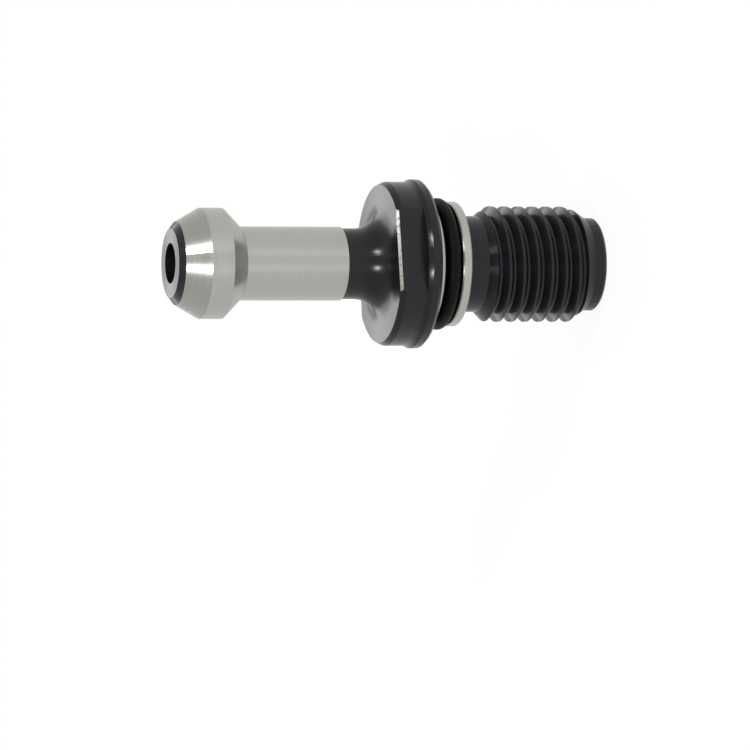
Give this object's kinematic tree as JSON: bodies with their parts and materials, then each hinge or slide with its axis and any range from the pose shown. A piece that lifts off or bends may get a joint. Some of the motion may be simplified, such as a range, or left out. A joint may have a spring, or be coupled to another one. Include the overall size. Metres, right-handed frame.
{
  "type": "pull stud",
  "caption": "Tool-holder pull stud: conical gripping head on a slim neck, flange with wrench flats, O-ring sealed pilot, external thread and a coolant bore right through.",
  "frame": {"origin": "on the stud's axis at the seat, the flange's rear face that bears on the tool holder", "axes": "+Z along the stud's axis towards the gripping head; +X square to a wrench flat"},
  "size_m": [0.023, 0.023, 0.06],
  "materials": {
    "stud_steel": "hardened alloy steel, black oxide all over, ground bright on the head's cones and land, the neck and the pilot's lands",
    "seal_rubber": "moulded nitrile rubber, satin black"
  },
  "bodies": {
    "root": {"stud": "stud_steel", "o_ring": "seal_rubber"}
  },
  "joints": []
}
